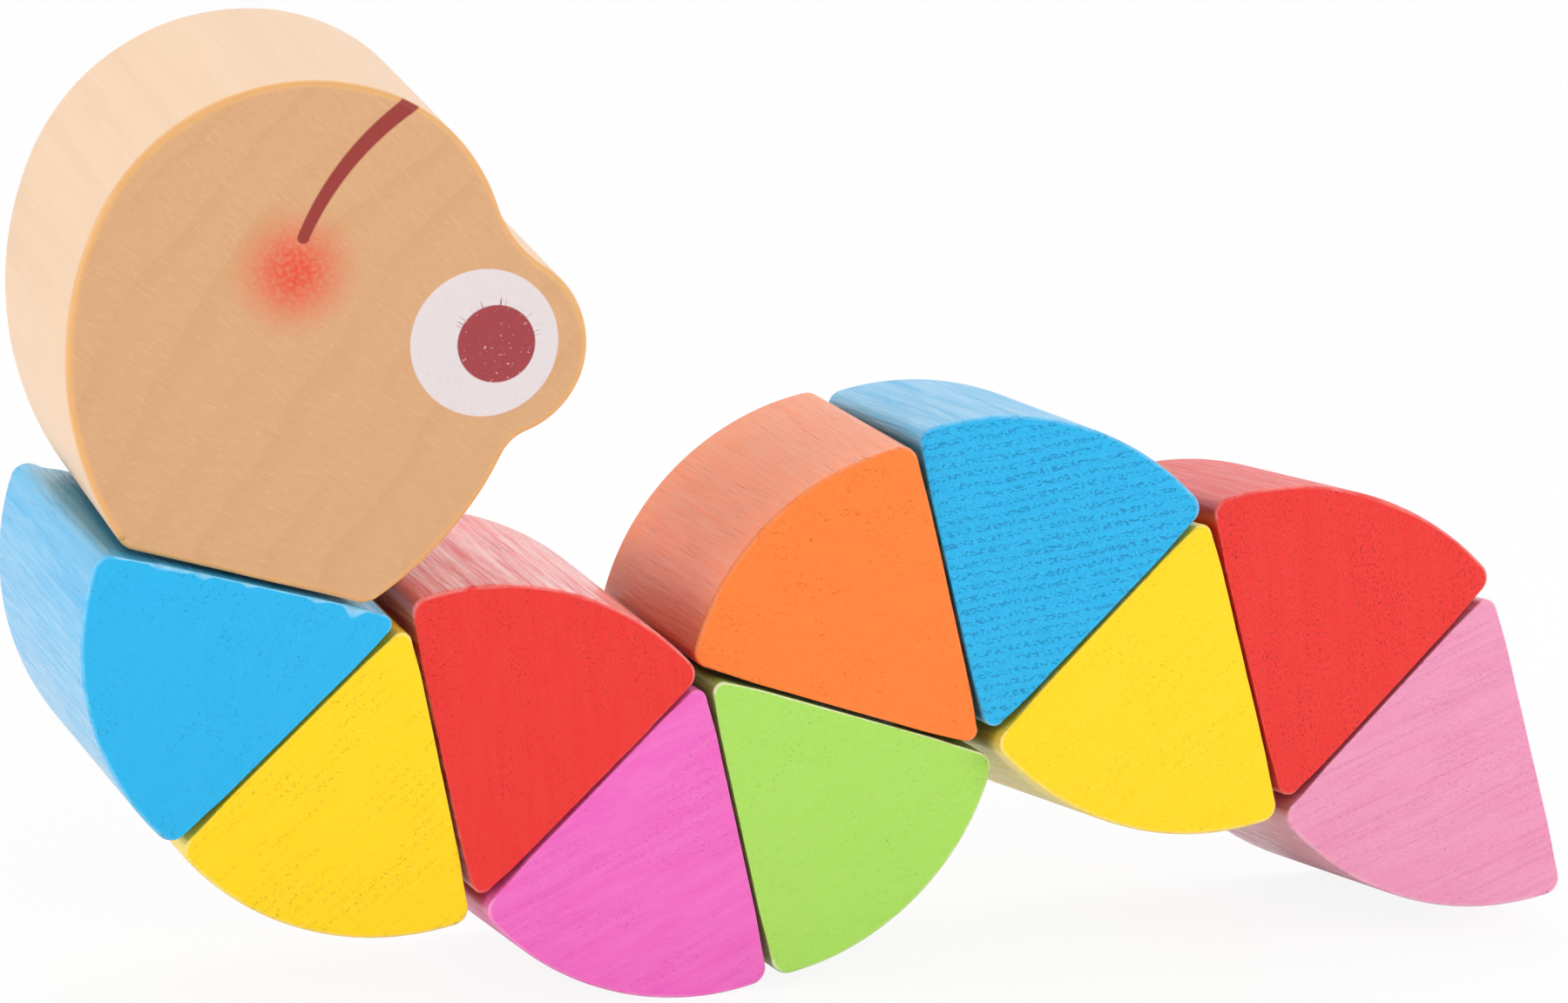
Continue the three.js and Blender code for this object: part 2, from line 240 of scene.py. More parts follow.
@dataclass(frozen=True)
class PaintedBeech:
    """Beech, sawn across the grain, dipped in semi-gloss enamel that goes on thinly, and dried.

    The fibres run through the board's thickness. So the front shows pores in rows along the growth
    rings, and the sides hold a glossy film and show streaks from front to back. The long grain is
    paler, partly from thinner paint and partly as painted sheen. Along every edge the coat is worn
    lighter, with a painted highlight laid over that wear, and painted shade darkens the long grain
    next to the first joint face.
    """

    name: str
    paint: Paint
    ring_angle: float  # degrees, of the growth rings on the front
    pores: float = 0.45  # how clear the pores are
    crowd: float = 0.2  # how close together they are
    rows: float = 0.3  # how strictly they keep to rows
    patches: float = 0.6  # how strictly they keep to patches
    grooves: float = 1.0  # how clear they are on the long grain, against the front
    mottle: float = 0.015  # how unevenly the coat covers
    lines: float = 0.01  # how clear the ring lines are
    sides: float = 0.1  # how much paler the long grain is, partly thinner paint and partly painted sheen
    gloss: float = 0.8  # of the lacquer on the long grain; the end grain drinks it in
    streaks: float = 0.5  # how unevenly that lacquer lies
    painted_shade: float = 0.0  # how dark the painted shade is on the long grain next to the first joint face
    worn: float = 0.5  # how much lighter the edges are: worn paint and a painted highlight
    relief: float = 0.04  # depth of the pores and the raised grain
    seed: float = 0.0

    # patterns run along a growth ring, across it and along the fibre
    PORE_SIZE = (0.28, 0.17, 6.0)  # three times as wide as in beech, or it wouldn't show
    PORE_LEVEL = 0.63  # of the noise, where pores are sparse
    PORE_CROWDING = 0.11  # that the level falls by where they crowd
    PORE_BORDER = 0.07
    PATCH = Flecks((7.0, 2.6, 40.0), 0.42, 0.62)
    LINE = Flecks((14.0, 0.3, 70.0), 0.55, 0.7)
    FIBRE = Flecks((0.32, 0.32, 7.0), 0.3, 0.7, 3.0)
    STREAK = Flecks((1.1, 1.1, 26.0), 0.3, 0.7, 4.0)
    HAIR = Flecks((0.4, 0.4, 7.0), 0.35, 0.65, 3.0)  # ridges of the long grain under the lacquer
    CLOUD = Flecks((6.0, 0.9, 12.0), 0.3, 0.7, 3.0)
    WEAR = Flecks((2.2, 2.2, 4.0), 0.2, 0.6)
    ROW_SPACING = 0.95
    ROW_WAVER = 2.2
    ROW_DETAIL = (2.0, 0.5)  # octaves of the waver's finer noise, and their scale
    ROW_EDGE = (0.35, 0.75)  # of the wave that makes a row
    BANDS_PER_TURN = 20  # of the wave texture at scale 1
    DRIFT = (31.0, 17.0, 53.0)  # of the patterns from one seed to the next
    HAIR_RELIEF = 0.07
    PIT_DEPTH = 3.0  # against the raised grain
    LINE_DEPTH = 6.0
    BUMP = 0.5
    PAINTED_SHADE_SPAN = (8.0, 2.0)  # from the first joint face: where the painted shade starts and where it is darkest
    FACE_LEVEL = 14.95  # the painted faces are this far from the middle of the board
    FACE_EASE = 0.15
    SATIN = (0.34, 0.46)  # roughness
    IOR = 1.36
    FILM_ROUGHNESS = 0.22

    def material(self) -> bpy.types.Material:
        """Makes the paint's material.

        Returns:
            The material.
        """
        material, tree = new_tree(self.name)
        place = add_node(tree, "Attribute", None, "Vector", attribute_name="place")
        turned = {
            "Vector": place,
            "Location": tuple(self.seed * step for step in self.DRIFT),
            "Rotation": (0.0, 0.0, -math.radians(self.ring_angle)),
        }
        grain = add_node(tree, "Mapping", turned)
        fibre, hair, line, cloud, streak, rubbed = (
            pattern.draw(tree, grain)
            for pattern in (self.FIBRE, self.HAIR, self.LINE, self.CLOUD, self.STREAK, self.WEAR)
        )
        side = level_mask(tree, place, self.FACE_LEVEL, self.FACE_LEVEL - self.FACE_EASE)
        kept = add_node(tree, "MapRange", {"Value": side, "To Min": 1.0, "To Max": self.grooves})
        pits = add_node(tree, "Math", {0: self._pits(tree, grain), 1: kept}, operation="MULTIPLY")
        # Lighter line along the edges: paint worn down there, with a painted highlight laid over it.
        edge = add_node(tree, "Attribute", None, "Fac", attribute_name="edge")
        wear_and_highlight = add_node(tree, "Math", {0: edge, 1: rubbed}, operation="MULTIPLY")
        # Paler long grain in streaks: partly thinner paint, partly painted sheen.
        pale = add_node(tree, "Math", {0: side, 1: streak}, operation="MULTIPLY")
        # Painted shade and a painted dark reflection: the long grain next to the first joint face is
        # darkened towards the paint's shade colour.
        up = add_node(tree, "SeparateXYZ", {0: place}, "Y")
        down = {"Value": up, "From Min": self.PAINTED_SHADE_SPAN[0], "From Max": self.PAINTED_SHADE_SPAN[1]}
        run = add_node(tree, "MapRange", down, interpolation_type="SMOOTHSTEP")
        painted_shade_mask = add_node(tree, "Math", {0: side, 1: run}, operation="MULTIPLY")
        layers = (
            (cloud, self.mottle, self.paint.tint),
            (pale, self.sides, self.paint.tint),
            (painted_shade_mask, self.painted_shade, self.paint.shade),
            (line, self.lines, self.paint.shade),
            (pits, self.pores, self.paint.shade),
            (wear_and_highlight, self.worn, self.paint.tint),
        )
        sunk = {0: pits, 1: -self.PIT_DEPTH, 2: fibre}
        pitted = add_node(tree, "Math", sunk, operation="MULTIPLY_ADD")
        scored = {0: line, 1: -self.LINE_DEPTH * self.lines, 2: pitted}
        height = add_node(tree, "Math", scored, operation="MULTIPLY_ADD")
        raised = {"Strength": self.BUMP, "Distance": self.relief * MM, "Height": height}
        combed = {"Strength": self.BUMP, "Distance": self.HAIR_RELIEF * MM, "Height": hair}
        held = {"Value": hair, "To Min": self.gloss * (1.0 - self.streaks), "To Max": self.gloss}
        film = add_node(tree, "MapRange", held)
        # The painted shade also takes the lacquer's gloss away there.
        dulled = add_node(tree, "MapRange", {"Value": painted_shade_mask, "To Min": 1.0, "To Max": 1.0 - self.painted_shade})
        dull = add_node(tree, "Math", {0: side, 1: dulled}, operation="MULTIPLY")
        sheen = {"Value": fibre, "To Min": self.SATIN[0], "To Max": self.SATIN[1]}
        surface = {
            "Base Color": layered(tree, linear(self.paint.coat), layers),
            "Roughness": add_node(tree, "MapRange", sheen),
            "IOR": self.IOR,
            "Normal": add_node(tree, "Bump", raised),
            "Coat Weight": add_node(tree, "Math", {0: dull, 1: film}, operation="MULTIPLY"),
            "Coat Roughness": self.FILM_ROUGHNESS,
            "Coat Normal": add_node(tree, "Bump", combed),
        }
        add_node(tree, "OutputMaterial", {"Surface": add_node(tree, "BsdfPrincipled", surface)})
        return material

    def _pits(self, tree: Tree, grain: Socket) -> Socket:
        """Draws pores, which gather in rows along the growth rings.

        Args:
            tree: The material's tree.
            grain: Place in millimetres, with x along the rings.

        Returns:
            1 in a pore, 0 between pores.
        """
        bands = {
            "Vector": grain,
            "Scale": 2 * math.pi / self.BANDS_PER_TURN / self.ROW_SPACING,
            "Distortion": self.ROW_WAVER,
            "Detail": self.ROW_DETAIL[0],
            "Detail Scale": self.ROW_DETAIL[1],
        }
        wave = add_node(tree, "TexWave", bands, "Fac", wave_type="BANDS", bands_direction="Y")
        low, high = self.ROW_EDGE
        ease = {"Value": wave, "From Min": low, "From Max": high, "To Min": 1.0 - self.rows, "To Max": 1.0}
        row = add_node(tree, "MapRange", ease, interpolation_type="SMOOTHSTEP")
        level = self.PORE_LEVEL - self.PORE_CROWDING * self.crowd
        pore = Flecks(self.PORE_SIZE, level, level + self.PORE_BORDER).draw(tree, grain)
        lined = add_node(tree, "Math", {0: row, 1: pore}, operation="MULTIPLY")
        gather = {"Value": self.PATCH.draw(tree, grain), "To Min": 1.0 - self.patches, "To Max": 1.0}
        gathered = add_node(tree, "MapRange", gather)
        return add_node(tree, "Math", {0: lined, 1: gathered}, operation="MULTIPLY")


@dataclass(frozen=True)
class Dot:
    """Round print on the head's face."""

    x: float
    y: float
    radius: float
    colour: str


@dataclass(frozen=True)
class FacePrints:
    """Prints on both faces of the head, in the head's frame.

    The eye and the mouth are pad-printed ink, even, with pinholes and a few dry hairs round the pupil.
    The cheek is sprayed, so it is grainy and fades out.
    """

    white: Dot = Dot(13.7, 23.5, 6.17, "ddd2d3")
    pupil: Dot = Dot(14.7, 23.65, 3.25, "9c3a40")
    cheek: Dot = Dot(-3.3, 25.56, 6.3, "e04833")
    mouth_x: float = 21.2  # centre of the arc that the mouth follows
    mouth_y: float = 25.3
    mouth_radius: float = 24.75
    mouth_width: float = 1.0  # at its lower end
    mouth_spread: float = 0.034  # that it widens by with each millimetre of height
    mouth_end: Dot = Dot(-3.34, 28.42, 0.5, "94322c")
    soft: float = 0.07  # ink's own blurred border
    pinhole: str = "d9b0b4"
    dust: str = "c9bfc2"
    dust_share: float = 0.25
    spray_share: float = 0.62  # between the grains of the spray
    spray_core: float = 0.2  # radius of the full spray
    hair_reach: tuple[float, float] = (0.2, 0.8)  # from the pupil, in full and at most
    hair_rise: tuple[float, float] = (0.1, 0.4)  # hairs are on the pupil's upper half

    SPRAY = Flecks((0.36, 0.36, 0.36), 0.25, 0.65)
    DUST = Flecks((0.36, 0.36, 0.36), 0.5, 0.75)
    PINHOLE = Flecks((0.24, 0.24, 0.24), 0.65, 0.73)
    CRACK = Flecks((0.06, 0.06, 0.06), 0.6, 0.67, 0.0)  # of a unit circle round the pupil

    def draw(self, tree: Tree, place: Socket, flat: Socket, on_face: Socket, wood: Socket) -> Socket:
        """Lays the cheek, the mouth and the eye over the wood.

        Args:
            tree: The material's tree.
            place: Place on the head in millimetres.
            flat: The same with no depth.
            on_face: 1 on the two faces, 0 on the rim.
            wood: Colour of the wood.

        Returns:
            The printed colour.
        """
        grains = {"Value": self.SPRAY.draw(tree, place), "To Min": self.spray_share, "To Max": 1.0}
        grainy = add_node(tree, "MapRange", grains)
        mist = self._cover(tree, flat, self.cheek, self.spray_core, self.cheek.radius)
        blush = add_node(tree, "Math", {0: mist, 1: grainy}, operation="MULTIPLY")
        holes = ((self.PINHOLE.draw(tree, place), 1.0, self.pinhole),)
        iris = layered(tree, linear(self.pupil.colour), holes)
        dusty = ((self.DUST.draw(tree, place), self.dust_share, self.dust),)
        eyeball = layered(tree, linear(self.white.colour), dusty)
        layers = (
            (blush, on_face, self.cheek.colour),
            (self._mouth(tree, flat), on_face, self.mouth_end.colour),
            (self._disc(tree, flat, self.white), on_face, eyeball),
            (self._hairs(tree, flat), on_face, self.pupil.colour),
            (self._disc(tree, flat, self.pupil), on_face, iris),
        )
        return layered(tree, wood, layers)

    def _cover(self, tree: Tree, flat: Socket, dot: Dot, inner: float, outer: float) -> Socket:
        """Covers the inside of a dot, with a soft border.

        Args:
            tree: The material's tree.
            flat: Place on the face in millimetres.
            dot: The dot, for its centre.
            inner: Radius of the full cover.
            outer: Radius where it has faded out.

        Returns:
            The cover, from 0 to 1.
        """
        centre = {0: flat, 1: (dot.x, dot.y, 0.0)}
        away = add_node(tree, "VectorMath", centre, "Value", operation="DISTANCE")
        fade = {"Value": away, "From Min": outer, "From Max": inner}
        return add_node(tree, "MapRange", fade, interpolation_type="SMOOTHSTEP")

    def _disc(self, tree: Tree, flat: Socket, dot: Dot) -> Socket:
        """A dot with the ink's blurred border."""
        return self._cover(tree, flat, dot, dot.radius - self.soft, dot.radius + self.soft)

    def _mouth(self, tree: Tree, flat: Socket) -> Socket:
        """Draws the mouth, a line along an arc that widens upwards from a round end.

        Args:
            tree: The material's tree.
            flat: Place on the face in millimetres.

        Returns:
            1 on the line, 0 beside it.
        """
        height = add_node(tree, "SeparateXYZ", {0: flat}, "Y")
        arc = {0: flat, 1: (self.mouth_x, self.mouth_y, 0.0)}
        reach = add_node(tree, "VectorMath", arc, "Value", operation="DISTANCE")
        off = add_node(tree, "Math", {0: reach, 1: self.mouth_radius}, operation="SUBTRACT")
        aside = add_node(tree, "Math", {0: off}, operation="ABSOLUTE")
        start = (self.mouth_width - self.mouth_spread * self.mouth_end.y) / 2
        wider = {0: height, 1: self.mouth_spread / 2, 2: start}
        half = add_node(tree, "Math", wider, operation="MULTIPLY_ADD")
        past = add_node(tree, "Math", {0: aside, 1: half}, operation="SUBTRACT")
        line = add_node(tree, "MapRange", {"Value": past, "From Min": self.soft, "From Max": -self.soft})
        above = add_node(tree, "Math", {0: height, 1: self.mouth_end.y}, operation="GREATER_THAN")
        upper = add_node(tree, "Math", {0: line, 1: above}, operation="MULTIPLY")
        ended = {0: upper, 1: self._disc(tree, flat, self.mouth_end)}
        return add_node(tree, "Math", ended, operation="MAXIMUM")

    def _hairs(self, tree: Tree, flat: Socket) -> Socket:
        """Draws fine cracks in the white that run out from the pupil.

        Args:
            tree: The material's tree.
            flat: Place on the face in millimetres.

        Returns:
            1 in a crack, 0 beside it.
        """
        centre = {0: flat, 1: (self.pupil.x, self.pupil.y, 0.0)}
        way = add_node(tree, "VectorMath", centre, operation="SUBTRACT")
        unit = add_node(tree, "VectorMath", {0: way}, operation="NORMALIZE")
        rise = add_node(tree, "SeparateXYZ", {0: unit}, "Y")
        upper = {"Value": rise, "From Min": self.hair_rise[0], "From Max": self.hair_rise[1]}
        dry = {0: self.CRACK.draw(tree, unit), 1: add_node(tree, "MapRange", upper)}
        crack = add_node(tree, "Math", dry, operation="MULTIPLY")
        inner, outer = (self.pupil.radius + reach for reach in self.hair_reach)
        near = self._cover(tree, flat, self.pupil, inner, outer)
        return add_node(tree, "Math", {0: crack, 1: near}, operation="MULTIPLY")


@dataclass(frozen=True)
class VarnishedBeech:
    """Natural beech under a clear satin varnish, sawn across the grain.

    The faces are end grain, tan with faint growth rings in wide arcs and short rays. The rim is long
    grain, paler, with streaks from front to back. Varnish gathers amber along the sanded edge, and
    that line is painted lighter as a highlight.
    """

    name: str
    prints: FacePrints
    face: str = "d4a378"
    ring_tone: str = "c4935f"
    rim: str = "f0cca9"
    amber: str = "eeb062"
    face_level: float = 14.4  # the faces start this far from the middle of the board
    ring_x: float = 76.0  # heart of the tree
    ring_y: float = -9.0
    ring_spacing: float = 5.2
    ring_share: float = 0.26  # how clear the rings are
    ray_share: float = 0.22
    fibre_share: float = 0.1
    glint_share: float = 0.15
    streak_share: float = 0.12
    amber_share: float = 0.6

    # out from the heart, round it and along the fibre
    RAY = Flecks((1.5, 0.2, 9.0), 0.45, 0.75)
    GLINT = Flecks((1.2, 0.14, 9.0), 0.58, 0.72)
    BAND = Flecks((6.0, 22.0, 90.0), 0.3, 0.6)  # where the rings are clear
    FIBRE = Flecks((0.3, 0.3, 9.0), 0.3, 0.7, 3.0)
    STREAK = Flecks((1.8, 1.8, 40.0), 0.4, 0.7)
    WOBBLE = Flecks((14.0, 14.0, 60.0), 0.0, 1.0)
    WOBBLE_REACH = 5.0
    LATE_WOOD = (0.45, 0.95)  # share of a year where it sets in and is full
    FACE_EASE = 0.4
    RELIEF = 0.03
    BUMP = 0.25
    SATIN = (0.36, 0.46)  # roughness
    IOR = 1.4

    def material(self) -> bpy.types.Material:
        """Makes the head's material.

        Returns:
            The material.
        """
        material, tree = new_tree(self.name)
        place = add_node(tree, "Attribute", None, "Vector", attribute_name="place")
        flat = add_node(tree, "VectorMath", {0: place, 1: (1.0, 1.0, 0.0)}, operation="MULTIPLY")
        on_face = level_mask(tree, place, self.face_level, self.face_level + self.FACE_EASE)
        fibre = self.FIBRE.draw(tree, place)
        end_grain = self._end_grain(tree, place, flat, fibre)
        streaks = ((self.STREAK.draw(tree, place), self.streak_share, self.face),)
        long_grain = layered(tree, linear(self.rim), streaks)
        # The amber line along the rim's edge is varnish gathered there, painted lighter as a highlight.
        edge = add_node(tree, "Attribute", None, "Fac", attribute_name="edge")
        wood = layered(tree, long_grain, ((on_face, 1.0, end_grain), (edge, self.amber_share, self.amber)))
        relief = {"Strength": self.BUMP, "Distance": self.RELIEF * MM, "Height": fibre}
        sheen = {"Value": fibre, "To Min": self.SATIN[0], "To Max": self.SATIN[1]}
        surface = {
            "Base Color": self.prints.draw(tree, place, flat, on_face, wood),
            "Roughness": add_node(tree, "MapRange", sheen),
            "IOR": self.IOR,
            "Normal": add_node(tree, "Bump", relief),
        }
        add_node(tree, "OutputMaterial", {"Surface": add_node(tree, "BsdfPrincipled", surface)})
        return material

    def _end_grain(self, tree: Tree, place: Socket, flat: Socket, fibre: Socket) -> Socket:
        """Draws growth rings round the heart of the tree, with rays and glints across them.

        Args:
            tree: The material's tree.
            place: Place on the head in millimetres.
            flat: The same with no depth.
            fibre: The fibres' pattern.

        Returns:
            The colour of the faces.
        """
        heart = (self.ring_x, self.ring_y, 0.0)
        way = add_node(tree, "VectorMath", {0: place, 1: heart}, operation="SUBTRACT")
        parts = add_node(tree, "SeparateXYZ", {0: way}).node.outputs
        reach = add_node(tree, "VectorMath", {0: flat, 1: heart}, "Value", operation="DISTANCE")
        turn = add_node(tree, "Math", {0: parts["Y"], 1: parts["X"]}, operation="ARCTAN2")
        about = add_node(tree, "Math", {0: turn, 1: self.ring_x}, operation="MULTIPLY")
        radial = add_node(tree, "CombineXYZ", {"X": reach, "Y": about, "Z": parts["Z"]})
        bent = {0: self.WOBBLE.draw(tree, place), 1: self.WOBBLE_REACH, 2: reach}
        shifted = add_node(tree, "Math", bent, operation="MULTIPLY_ADD")
        count = add_node(tree, "Math", {0: shifted, 1: self.ring_spacing}, operation="DIVIDE")
        year = add_node(tree, "Math", {0: count}, operation="FRACT")
        start, full = self.LATE_WOOD
        rise = {"Value": year, "From Min": start, "From Max": full}
        late = add_node(tree, "MapRange", rise, interpolation_type="SMOOTHSTEP")
        winter = add_node(tree, "MapRange", {"Value": year, "From Min": 1.0, "From Max": full})
        even = add_node(tree, "Math", {0: late, 1: winter}, operation="MULTIPLY")
        ring = add_node(tree, "Math", {0: even, 1: self.BAND.draw(tree, radial)}, operation="MULTIPLY")
        layers = (
            (ring, self.ring_share, self.ring_tone),
            (self.RAY.draw(tree, radial), self.ray_share, self.ring_tone),
            (fibre, self.fibre_share, self.ring_tone),
            (self.GLINT.draw(tree, radial), self.glint_share, self.rim),
        )
        return layered(tree, linear(self.face), layers)


@dataclass(frozen=True)
class PlainFinish:
    """A dull natural surface with fine flecks: a raw dowel, or the cord's braided cotton cover."""

    name: str
    colour: str
    fleck: str
    size: tuple[float, float, float]
    roughness: float
    relief: float

    FLECK_LEVELS = (0.35, 0.65)
    FLECK_DETAIL = 3.0
    BUMP = 0.6

    def material(self) -> bpy.types.Material:
        """Makes the material.

        Returns:
            The material.
        """
        material, tree = new_tree(self.name)
        where = add_node(tree, "TexCoord", None, "Object")
        place = add_node(tree, "VectorMath", {0: where, 1: (PER_MM, PER_MM, PER_MM)}, operation="MULTIPLY")
        mark = Flecks(self.size, *self.FLECK_LEVELS, self.FLECK_DETAIL).draw(tree, place)
        relief = {"Strength": self.BUMP, "Distance": self.relief * MM, "Height": mark}
        surface = {
            "Base Color": layered(tree, linear(self.colour), ((mark, 1.0, self.fleck),)),
            "Roughness": self.roughness,
            "Normal": add_node(tree, "Bump", relief),
        }
        add_node(tree, "OutputMaterial", {"Surface": add_node(tree, "BsdfPrincipled", surface)})
        return material


# Outlines and boards


class Span(Enum):
    """Stretches of a board's outline."""

    CORNER = "corner"
    FIRST_FACE = "first joint face"
    BACK = "rounded back"
    SECOND_FACE = "second joint face"
    NECK = "neck face"
    RIM = "rim"


def polar(centre: Vector, radius: float, angle: float) -> Vector:
    """Point at a distance and an angle, in radians, from a centre in the plane."""
    return centre + Vector((math.cos(angle), math.sin(angle))) * radius


def heading(start: Vector, end: Vector) -> float:
    """Angle, in radians, of the way from one point to another."""
    return math.atan2(end.y - start.y, end.x - start.x)


@dataclass
class Outline:
    """Closed outline of a board, counter-clockwise, as close points with outward normals."""

    spacing: float
    points: list[Vector] = field(default_factory=list)
    normals: list[Vector] = field(default_factory=list)
    spans: list[Span] = field(default_factory=list)  # of the step from each point to the next
    pending: Span | None = None  # of the step from the last point, while a straight run is open

    SAME = 1e-6  # points closer than this are one

    def arc(self, centre: Vector, radius: float, start: float, end: float, span: Span, lead: Span) -> None:
        """Adds an arc, after a straight run up to its start.

        Args:
            centre: Centre of the arc.
            radius: Its radius. A hollow, which is run clockwise, has a negative one.
            start: First angle in radians.
            end: Last angle.
            span: What the arc is.
            lead: What the straight run before it is.
        """
        turn = 1 if radius > 0 else -1
        sweep = (turn * (end - start)) % (2 * math.pi)
        steps = max(2, math.ceil(sweep * abs(radius) / self.spacing))
        self.run(polar(centre, abs(radius), start), lead)
        for i in range(steps + 1):
            angle = start + turn * sweep * i / steps
            self._add(polar(centre, abs(radius), angle), polar(Vector((0, 0)), turn, angle), span)

    def run(self, goal: Vector, span: Span) -> None:
        """Adds the points of a straight run up to, and without, its goal.

        Args:
            goal: Where the run ends.
            span: What the run is.
        """
        if not self.points:
            return
        start = self.points[-1]
        way = goal - start
        steps = math.ceil(way.length / self.spacing)
        normal = Vector((way.y, -way.x)).normalized()
        for i in range(1, steps):
            self._add(start + way * i / steps, normal, span)
        self.pending = span if steps > 1 else None

    def close(self, span: Span) -> None:
        """Runs straight back to the first point."""
        self.run(self.points[0], span)
        self.spans.append(span)

    def _add(self, point: Vector, normal: Vector, span: Span) -> None:
        """Adds a point, unless the outline is there already.

        Args:
            point: The point.
            normal: Its outward normal.
            span: What the step up to it is, where no straight run is open.
        """
        if self.points and (self.points[-1] - point).length < self.SAME:
            return
        if self.points:
            self.spans.append(self.pending or span)
            self.pending = None
        self.points.append(point)
        self.normals.append(normal)


def bridge(work: bmesh.types.BMesh, rings: list[list[bmesh.types.BMVert]]) -> None:
    """Joins each closed ring of points to the next with faces.

    Args:
        work: The mesh that gets the faces.
        rings: Rings with the same number of points each.
    """
    for first, second in zip(rings, rings[1:]):
        for i, vertex in enumerate(first):
            j = (i + 1) % len(first)
            work.faces.new((vertex, first[j], second[j], second[i]))


@dataclass
class Drilling:
    """Hole in a board, as rings of points from one mouth to the other or to the drill's point."""

    rings: list[list[Vector]]
    mouths: dict[Span, int]  # which ring opens on which face
    tip: Vector | None = None


@dataclass
class Board:
    """Sawn board with sanded front and back edges, worn unevenly."""

    outline: Outline
    thickness: float
    edge_radius: float
    crisp: dict[Span, float]  # edge radius along the stretches that are sanded less
    ragged: dict[Span, float]  # how far the edge is chipped back along each stretch
    bare: dict[Span, float]  # how far the finish is rubbed off each stretch's edge, with a painted highlight
    drilling: Drilling
    seed: float

    EDGE_STEPS = 6
    # length of the edge's slow changes and of a chip, and their shift in the noise by seed and side
    SWELL = (6.0, 9.1, 40)
    CHIP = (1.9, 5.3, 20)
    SWELL_RANGE = (0.85, 0.3)  # share of the radius at no noise, and what noise adds
    RUBBED = 0.9  # of the finish, and of the painted highlight, where nothing else is said
    EASE = 4  # points on each side over which one edge radius runs into the next

    def mesh(self, name: str, place: Matrix) -> bpy.types.Mesh:
        """Builds the board.

        Args:
            name: The mesh's name.
            place: The board's frame.

        Returns:
            The mesh, in its place in metres, with two point attributes: edge, which is 1 along a bare
            arris that also carries a painted highlight, and place, the point in the board's own frame in
            millimetres.
        """
        work = bmesh.new()
        arris = work.verts.layers.float.new("edge")
        rings = []
        for side in (1, -1):
            radii = self._radii(side)
            order = range(self.EDGE_STEPS + 1) if side > 0 else range(self.EDGE_STEPS, -1, -1)
            for step in order:
                angle = step / self.EDGE_STEPS * math.pi / 2
                ring = []
                for i, (point, normal) in enumerate(zip(self.outline.points, self.outline.normals)):
                    at = point - normal * radii[i] * (1 - math.sin(angle))
                    level = side * (self.thickness / 2 - radii[i] * (1 - math.cos(angle)))
                    vertex = work.verts.new((at.x, at.y, level))
                    # how bare the edge is, which also sets the painted highlight on it
                    rubbed = self.bare.get(self.outline.spans[i], self.RUBBED)
                    vertex[arris] = rubbed * math.sin(2 * angle)
                    ring.append(vertex)
                rings.append(ring)
        work.faces.new(rings[0])
        work.faces.new(reversed(rings[-1]))
        wall = self.EDGE_STEPS
        count = len(self.outline.points)
        for level, (upper, lower) in enumerate(zip(rings, rings[1:])):
            for i in range(count):
                if level == wall and self.outline.spans[i] in self.drilling.mouths:
                    continue
                j = (i + 1) % count
                work.faces.new((upper[i], lower[i], lower[j], upper[j]))
        self._drill(work, rings[wall], rings[wall + 1])
        return finished(work, name, place)

    def _radii(self, side: int) -> list[float]:
        """Wears the sanded edge on one side of the board.

        Args:
            side: 1 for the front, -1 for the rear.

        Returns:
            The edge's radius at each point of the outline.
        """
        plain = [self.crisp.get(span, self.edge_radius) for span in self.outline.spans]
        near = range(-self.EASE, self.EASE + 1)
        base, share = self.SWELL_RANGE
        radii = []
        for i, point in enumerate(self.outline.points):
            eased = sum(plain[(i + k) % len(plain)] for k in near) / len(near)
            slow, quick = (
                noise.noise(Vector((point.x, point.y, self.seed * by_seed + side * by_side)) / length)
                for length, by_seed, by_side in (self.SWELL, self.CHIP)
            )
            chip = self.ragged.get(self.outline.spans[i], 0.0) * max(0.0, quick)
            radii.append(eased * (base + share * slow) + chip)
        return radii

    def _drill(self, work: bmesh.types.BMesh, upper: list, lower: list) -> None:
        """Adds the hole's wall and the joint faces round its mouths.

        Args:
            work: The board so far.
            upper: Points of the wall's front border.
            lower: Points of its rear border.
        """
        rings = [[work.verts.new(point) for point in ring] for ring in self.drilling.rings]
        bridge(work, rings)
        if self.drilling.tip is not None:
            tip = work.verts.new(self.drilling.tip)
            for i, vertex in enumerate(rings[-1]):
                work.faces.new((vertex, rings[-1][(i + 1) % len(rings[-1])], tip))
        count = len(upper)
        for span, number in self.drilling.mouths.items():
            border = []
            for i in (i for i in range(count) if self.outline.spans[i] is span):
                j = (i + 1) % count
                border += [work.edges.get((ring[i], ring[j])) for ring in (upper, lower)]
                if self.outline.spans[i - 1] is not span:
                    border.append(work.edges.get((upper[i], lower[i])))
                if self.outline.spans[j] is not span:
                    border.append(work.edges.get((upper[j], lower[j])))
            mouth = rings[number]
            lip = [work.edges.get((v, mouth[(i + 1) % len(mouth)])) for i, v in enumerate(mouth)]
            for rim in lip:
                rim.smooth = False
            bmesh.ops.triangle_fill(work, use_beauty=True, edges=border + lip)


